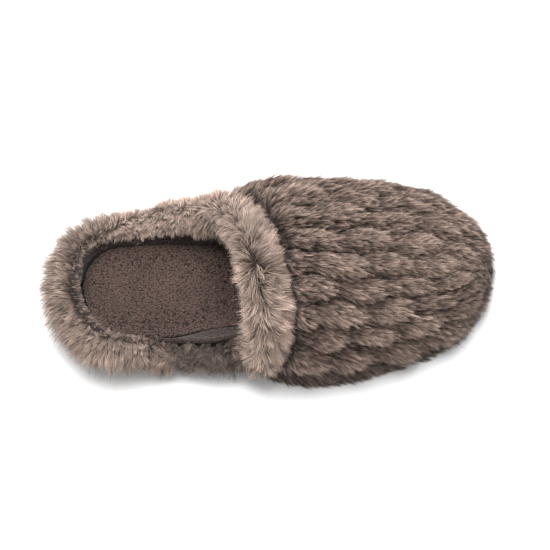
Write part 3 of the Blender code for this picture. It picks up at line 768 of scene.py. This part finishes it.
def growUpperPile():
    look = vampPile
    material = strandMaterial("plushHair", look["roughness"])
    for name, sign in (("outer", 1.0), ("inner", -1.0)):
        part = upperBeds[name]
        xi, theta, stand, outward = part["xi"], part["theta"], part["stand"], part["normal"]
        points = backingPoint(xi, theta)
        tuft, mark = tuftField(xi, theta)
        along = unit(backingPoint(xi + look["combStep"], theta) - backingPoint(xi - look["combStep"], theta))
        down = unit(backingPoint(xi, theta - look["turnStep"] * sign) - points)
        low = lowShare(points, look["lowBand"])
        vamp = smooth(*look["vampSpan"], xi)
        quarter = (1 - vamp) * smooth(*look["quarterSpan"], xi) * (sign < 0)
        normal = unit(np.cross(np.gradient(part["bed"], axis=0), np.gradient(part["bed"], axis=1)))
        normal = normal * np.sign(dot(normal, outward))
        # the hair falls off the heel, lies lengthwise on the inner quarter and turns with each tuft of the vamp
        fall = unit(outward * outward[..., 2:] - np.array([0, 0, 1.0]))
        lengthwise = along - look["quarterFall"] * fall
        heelComb = fall * (1 - quarter[..., None]) + lengthwise * quarter[..., None]
        spread = smooth(0.0, look["spineSpread"], np.abs(theta - np.pi / 2))  # no parting along the spine
        aside = (look["sideFall"] + (mark - 0.5) * look["swirl"] + look["lowFall"] * low)[..., None]
        vampComb = along * (1 - look["lowAlong"] * low[..., None]) + down * aside * spread[..., None]
        length = look["shortest"] + (look["longest"] - look["shortest"]) * tuft
        length = length + look["lowMore"] * low * vamp + look["quarterMore"] * quarter
        length = length * (look["cuffShare"] + (1 - look["cuffShare"]) * stand)
        toe = smooth(*look["toeSpan"], xi) * smooth(*look["toeSide"], theta)
        lift = look["lift"] + (look["vampLift"] + look["lowLift"] * low) * vamp
        roots = look["troughRoots"] + (1 - look["troughRoots"]) * tuft
        # painted shade in the troughs and painted light on the crests: the hair is darker the lower the tuft
        tone = look["troughPaintedShade"] + look["tuftPaintedLight"] * tuft
        fields = {
            "normal": unit(normal + outward),
            "comb": unit(vampComb * vamp[..., None] + heelComb * (1 - vamp[..., None])),
            "lift": lift + look["quarterLift"] * quarter,
            "length": length * (1 - look["toeTrim"] * toe),
            "clump": np.zeros(xi.shape), "wild": np.ones(xi.shape),
            "guard": (1 - low) ** 2 * vamp * (1 - look["toeGuards"] * smooth(*look["guardFade"], xi)),
            "density": (stand**0.5 + look["leastRoots"]) * roots,
            # painted shade on the low sides near the sole, except on the inner quarter
            "tone": tone * (1 - look["lowPaintedShade"] * low * (1 - quarter)),
        }
        half = int(np.searchsorted(xi[:, 0], look["pieceEnd"]))
        for k, rows in enumerate((slice(0, half + 1), slice(half, None))):
            cut = {key: field[rows] for key, field in fields.items()}
            growPile(f"plush_{name}_{k}", part["bed"][rows], cut, look, material)


growUpperPile()


# the cuff: a roll of longer hair round the opening, parted along its crest
def cuffFrames(count):
    rim = evenRing(topline, count)
    along = np.roll(rim, -1, axis=0) - np.roll(rim, 1, axis=0)
    away = unit(np.cross(backingNormal(rim), along))
    middle = np.array([opening["middle"], centreAt(opening["middle"]), opening["middle"]])
    return rim, away * np.sign(dot(away, rim - middle))


# points reached by walking over the backing from the rim, one row for each mm
def walkOut(rim, away, steps):
    point, heading = rim.copy(), away.copy()
    path, normals = [point], [backingNormal(point)]
    for _ in range(steps):
        point = point + heading
        for _ in range(cuffLook["settleRounds"]):
            slope = backingSlope(point)
            point = point - slope * ((backingLevel(point) - 1)[..., None] / dot(slope, slope))
        normal = backingNormal(point)
        heading = unit(heading - normal * dot(heading, normal))
        path.append(point)
        normals.append(normal)
    return np.stack(path, 1), np.stack(normals, 1)


# a smooth line through the points of a profile
def smoothProfile(profile, count):
    points = np.array(profile)
    n = len(points) - 1
    at = np.linspace(0, n, count)
    i = np.minimum(at.astype(int), n - 1)
    t = (at - i)[:, None]
    p0, p1 = points[np.maximum(i - 1, 0)], points[i]
    p2, p3 = points[i + 1], points[np.minimum(i + 2, n)]
    square, cube = 2 * p0 - 5 * p1 + 4 * p2 - p3, 3 * p1 - p0 - 3 * p2 + p3
    return 0.5 * (2 * p1 + (p2 - p0) * t + square * t**2 + cube * t**3)


# the profile laid over the backing: out along the walk, up along its normals
def cuffSurface(profile, rim, away, walked, normals):
    width, height = cuffWidth(rim)[:, None], cuffHeight(rim)[:, None]
    reach = profile[..., 0] * width
    tall = profile[..., 1] * height + last["seamGap"]
    on = np.maximum(reach, 0)
    i = np.minimum(on.astype(int), walked.shape[1] - 2)
    t = (on - i)[..., None]
    rows = np.arange(len(rim))[:, None]
    base = walked[rows, i] * (1 - t) + walked[rows, i + 1] * t
    up = unit(normals[rows, i] * (1 - t) + normals[rows, i + 1] * t)
    return base + away[:, None] * np.minimum(reach, 0)[..., None] + up * tall[..., None]


def makeCuff():
    look = cuffLook
    rim, away = cuffFrames(look["sections"])
    walked, normals = walkOut(rim, away, look["walkSteps"])
    outline = smoothProfile(look["profile"], look["outlineSteps"])
    core = np.array(look["core"])
    trim = look["quarterTrim"] * nearQuarter(rim)
    inward = smooth(*look["trimInside"], np.linspace(0, 1, len(outline)))
    fill = look["bedShare"] - trim[:, None] * inward[None]
    bed = cuffSurface(core + (outline - core)[None] * fill[..., None], rim, away, walked, normals)
    top = cuffSurface(outline[None], rim, away, walked, normals)
    bed, top, rim = (np.concatenate([ring, ring[:1]], axis=0) for ring in (bed, top, rim))
    mesh = weldedMesh("cuffRoll", gridQuads(np.concatenate([bed, bed[:, :1]], axis=1)))
    roll = addPiece("cuffRoll", mesh, [clothMaterial("cuffGround", look["ground"])])
    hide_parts("cuff")
    print("cuff roll", len(mesh.polygons), "faces")
    return bed, top, rim


cuffPile = {
    "steps": np.array([0.0, 0.36, 0.72, 1.0]), "count": 84000, "pieces": 3, "roughness": 0.68, "width": 0.32,
    "roll": 0.8, "stray": 0.32, "liftStray": 0.17, "lengthStray": 0.34, "bend": 0.25, "sag": 0.12,
    "curl": 0.05, "perLock": 12, "lockPull": 0.62, "tightPull": 0.93, "lockTone": 0.28, "hairTone": 0.18,
    "guards": 0.015, "guardLift": 0.2, "guardLength": 0.3, "guardSpan": (0.3, 0.5),
    # root to tip colours; the dark roots are partly painted shade deep in the pile
    "ramp": ((0, 0.033, 0.021, 0.016), (0.4, 0.18, 0.125, 0.100), (1, 0.72, 0.545, 0.45)),
    # heel and inner side along and across the slipper; parting as a share of the way over the roll
    "heelSpan": (12, 46), "innerSide": (-8, 14), "partSoft": 0.08, "crest": (-0.24, 0.04),
    "parting": {"front": 0.52, "inner": 0.68, "heel": 0.91, "outer": 0.90},
    "outside": {"front": 14.0, "inner": 16.0, "heel": 15.0, "outer": 11.5},
    "inside": {"front": 12.0, "inner": 8.0, "heel": 4.0, "outer": 4.5},
    # painted light and shade by place: brighter on the inner side, darker at the heel and on the outer side
    "tone": {"front": 0.96, "inner": 1.22, "heel": 0.68, "outer": 0.70},
    "fan": 0.9, "whorl": -25.0, "fanReach": 40.0, "fanBack": -0.4, "fall": 0.35,
    "quarterLength": 11.0, "hemMore": 3.0, "footTrim": 0.42, "footSpan": (0.42, 0.2),
    "lift": 0.42, "frontLift": 0.04, "partLift": 0.25, "partWidth": 0.12, "crestLift": 0.15, "innerLift": 0.5,
    "hemLift": 0.08, "quarterWild": 2.4, "crestWild": 0.8,
    "rootSpan": (0.0, 0.12), "sideRoots": 0.6, "leastRoots": 0.01,
    # painted shade where the roll turns down into the opening, and on the outer quarter
    "baseTone": 0.96, "insidePaintedShade": 0.30, "insideShadeSpan": (0.80, 0.97), "quarterShadedTone": 0.33,
    # painted shade inside the parting, and on the inner half of the front
    "crestPaintedShade": 0.25, "crestPaintedShadeSpan": (-0.05, 0.1), "frontPaintedShade": 0.30, "frontPaintedShadeSide": (0, 24),
    "mottle": 0.7, "mottleAlong": (0.45, 0.3), "mottleOver": (7, 11),
    # painted shade on the inner side towards the front
    "innerPaintedShade": 0.28, "innerPaintedShadeSpan": (70, 96),
}


def growCuffPile():
    look = cuffPile
    bed, top, rim = makeCuff()
    p = np.linspace(0, 1, bed.shape[1])[None]  # from the foot of the roll over its crest and down inside
    x, y = rim[:, :1], rim[:, 1:2]
    shares = (cuffFront(rim), nearQuarter(rim), cornerAt(rim, "hem"))
    front, quarter, hem = (share[:, None] for share in shares)
    heel, inner = 1 - smooth(*look["heelSpan"], x), smooth(*look["innerSide"], y - centreAt(x))
    across, around = np.gradient(bed, axis=1), np.gradient(bed, axis=0)
    normal = unit(np.cross(around, across))
    normal = normal * np.sign(dot(normal, top - bed))

    def byPlace(values):
        sides = values["outer"] + (values["inner"] - values["outer"]) * inner
        sides = sides + (values["heel"] - sides) * heel
        return sides + (values["front"] - sides) * front

    aside = p - byPlace(look["parting"])
    edge = smooth(*look["crest"], aside)  # 1 inside the parting
    # over the instep the hair fans out from a whorl on the outer side
    tail = unit(around) * -np.sign(around[..., 1:2])
    fan = look["fan"] * front * np.clip((look["whorl"] - y) / look["fanReach"], look["fanBack"], 1)
    down = np.array([0, 0, -1.0]) + normal * normal[..., 2:]
    comb = unit(across) * np.tanh(aside / look["partSoft"])[..., None]
    comb = comb + down * (look["fall"] + hem)[..., None] + tail * fan[..., None]
    outside, inside = byPlace(look["outside"]), byPlace(look["inside"])
    outside = outside + (np.minimum(outside, look["quarterLength"]) - outside) * quarter + look["hemMore"] * hem
    length = outside + (inside - outside) * edge
    parted = np.exp(-((aside / look["partWidth"]) ** 2))
    lift = look["lift"] + look["frontLift"] * front + look["partLift"] * front * parted
    lift = lift + look["crestLift"] * (1 - front) * edge
    lift = lift + look["innerLift"] * inner * (1 - front) * (1 - heel) + look["hemLift"] * hem
    along, over = look["mottleAlong"], look["mottleOver"]
    mottle = np.sin(along[0] * x + over[0] * p) * np.sin(over[1] * p - along[1] * x)
    # painted shade where the roll turns down into the opening
    tone = (look["baseTone"] - look["insidePaintedShade"] * smooth(*look["insideShadeSpan"], p)) * byPlace(look["tone"])
    for dark in (
        # painted shade on the outer quarter, with a patchy mottle over it
        (1 - look["quarterShadedTone"]) * quarter, -look["mottle"] * quarter * mottle,
        # painted shade inside the parting
        look["crestPaintedShade"] * (1 - front) * smooth(*look["crestPaintedShadeSpan"], aside),
        # painted shade on the inner half of the front
        look["frontPaintedShade"] * front * smooth(*look["frontPaintedShadeSide"], y),
        # painted shade on the inner side towards the front
        look["innerPaintedShade"] * inner * smooth(*look["innerPaintedShadeSpan"], x),
    ):
        tone = tone * (1 - dark)
    roots = look["sideRoots"] + (1 - look["sideRoots"]) * front
    wild = 1 + look["quarterWild"] * quarter * (1 - hem) + look["crestWild"] * inner * (1 - front) * edge
    fields = {
        "normal": normal, "comb": unit(comb), "lift": lift, "tone": tone, "wild": wild,
        "clump": quarter * (1 - hem),
        "length": length * (1 - look["footTrim"] * (1 - front) * smooth(*look["footSpan"], p)),
        "density": smooth(*look["rootSpan"], p) * roots + look["leastRoots"],
        "guard": smooth(*look["guardSpan"], p) * (1 - hem) * (1 - quarter),
    }
    fields = {key: np.broadcast_to(field, bed.shape[:2] + field.shape[2:]) for key, field in fields.items()}
    material = strandMaterial("cuffHair", look["roughness"])
    stops = np.linspace(0, len(bed) - 1, look["pieces"] + 1).astype(int)
    for k in range(look["pieces"]):
        rows = slice(stops[k], stops[k + 1] + 1)
        cut = {key: field[rows] for key, field in fields.items()}
        growPile(f"cuffHair_{k}", bed[rows], cut, look, material)


growCuffPile()

# the footbed
insoleLook = {
    "thick": 9.0, "toeThick": 5.0, "thinFrom": 120.0, "thinOver": 100.0, "toeGap": 10.0, "cup": 1.6,
    "cupPower": 3, "heelLean": 1.8, "edgeRound": 1.6, "topShare": 0.985, "ribs": 150, "ribPoints": 61,
    "fleece": {"color": (0.058, 0.0355, 0.0285), "nubScale": 860, "contrast": 2.7, "relief": 1.0, "sheen": 0.2},
}


def makeInsole():
    look = insoleLook
    grow = last["backingGrow"] - last["wall"] - last["seamGap"]
    back, front = -grow, soleLength - look["toeGap"]
    x = back + (front - back) * (0.5 - 0.5 * np.cos(np.linspace(0, np.pi, look["ribs"])))
    width = halfWidth(x, grow, -look["toeGap"])
    low = featherHeight(x)
    fore = np.clip((x - look["thinFrom"]) / look["thinOver"], 0, 1)
    high = low + look["thick"] + (look["toeThick"] - look["thick"]) * fore
    lean = (look["heelLean"] + upperLook["heelSwell"]) * np.clip(1 - x / last["heelArc"], 0, 1)
    across = np.sin(np.linspace(-np.pi / 2, np.pi / 2, look["ribPoints"]))[None] * look["topShare"]
    inset = (1 - np.abs(across)) * width[:, None]
    rise = look["cup"] * np.abs(across) ** look["cupPower"] * (1 - fore)[:, None]
    fall = look["edgeRound"] * np.clip(1 - inset / look["edgeRound"], 0, 1) ** 2
    level = high[:, None] + rise
    reach = width[:, None] * flareAt(x[:, None], level, across)
    reach = reach * (1 - (1 - wallLean(x[:, None], level)) * np.abs(across))
    reach = reach - liningSwell(x[:, None], across) * across**2
    along = np.broadcast_to((x + lean)[:, None], rise.shape)
    top = np.stack([along, centreAt(x)[:, None] + across * reach, level - fall], axis=-1)
    sides = [np.stack([x, centreAt(x) + s * width, low], axis=-1)[:, None] for s in (-1, 1)]
    mesh = weldedMesh("insolePad", gridQuads(np.concatenate([sides[0], top, sides[1], sides[0]], axis=1)))
    pad = addPiece("insolePad", mesh, [clothMaterial("insoleFleece", look["fleece"])])
    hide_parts("insole")
    print("insole pad", len(mesh.polygons), "faces")


makeInsole()

rubberLook = {
    "roughness": 0.55, "grainScale": 900, "grainDetail": 4, "relief": 0.25, "reliefDepth": 0.0003,
    "dark": (0.026, 0.025, 0.028), "pale": (0.046, 0.045, 0.049),
}


def dressOutsole():
    look = rubberLook
    material, tree, shader = newMaterial("blackRubber", {"Roughness": look["roughness"]})
    grain = textureNode(tree, "ShaderNodeTexNoise", Scale=look["grainScale"], Detail=look["grainDetail"])
    ramp = tree.nodes.new("ShaderNodeValToRGB")
    for stop, color in zip(ramp.color_ramp.elements, (look["dark"], look["pale"])):
        stop.color = (*color, 1)
    tree.links.new(grain.outputs["Fac"], ramp.inputs["Fac"])
    tree.links.new(ramp.outputs["Color"], shader.inputs["Base Color"])
    addRelief(tree, shader, grain.outputs["Fac"], look["relief"], look["reliefDepth"])
    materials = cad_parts["outsole"].data.materials
    materials.clear()
    materials.append(material)
    print("outsole in black rubber")


dressOutsole()

studio = {
    "azimuth": -2.2, "elevation": 58.0, "distance": 0.95, "frameWidth": 0.345, "aim": (0.0, 0.0, 0.022),
    "sensor": 36.0, "worldColor": (1, 1, 1, 1), "worldStrength": 0.65, "floorReach": 4.0,
    "floor": {"Base Color": (0.90, 0.90, 0.90, 1), "Roughness": 0.9, "Specular IOR Level": 0.1},
    "keyPower": 20.0, "keySize": 1.1, "keyPlace": (-0.15, 0.28, 1.0),
    "fillPower": 1.0, "fillSize": 1.4, "fillPlace": (0.1, -1.0, 0.7),
}


def makeStudio():
    scene = bpy.context.scene
    a, e = math.radians(studio["azimuth"]), math.radians(studio["elevation"])
    back = Vector((math.sin(a) * math.cos(e), -math.cos(a) * math.cos(e), math.sin(e)))
    camera = bpy.data.objects.new("photoCamera", bpy.data.cameras.new("photoCamera"))
    scene.collection.objects.link(camera)
    camera.data.sensor_width = studio["sensor"]
    camera.data.lens = studio["sensor"] * studio["distance"] / studio["frameWidth"]
    camera.location = Vector(studio["aim"]) + back * studio["distance"]
    camera.rotation_mode = "QUATERNION"
    camera.rotation_quaternion = (-back).to_track_quat("-Z", "Y")
    scene.camera = camera
    for name in ("key", "fill"):
        lamp = bpy.data.lights.new(name + "Light", "AREA")
        lamp.energy = studio[name + "Power"]
        lamp.shape = "DISK"
        lamp.size = studio[name + "Size"]
        holder = bpy.data.objects.new(name + "Light", lamp)
        holder.location = studio[name + "Place"]
        holder.rotation_mode = "QUATERNION"
        holder.rotation_quaternion = (-holder.location).to_track_quat("-Z", "Y")
        scene.collection.objects.link(holder)
    world = bpy.data.worlds.new("studioWorld")
    world.use_nodes = True
    world.node_tree.nodes["Background"].inputs["Color"].default_value = studio["worldColor"]
    world.node_tree.nodes["Background"].inputs["Strength"].default_value = studio["worldStrength"]
    scene.world = world
    scene.view_settings.view_transform = "Standard"
    mesh = bpy.data.meshes.new("studioFloor")
    r = studio["floorReach"]
    mesh.from_pydata([(-r, -r, 0), (r, -r, 0), (r, r, 0), (-r, r, 0)], [], [(0, 1, 2, 3)])
    floor = bpy.data.objects.new("studioFloor", mesh)
    scene.collection.objects.link(floor)
    mesh.materials.append(newMaterial("paleFloor", studio["floor"])[0])
    print("studio set")


makeStudio()
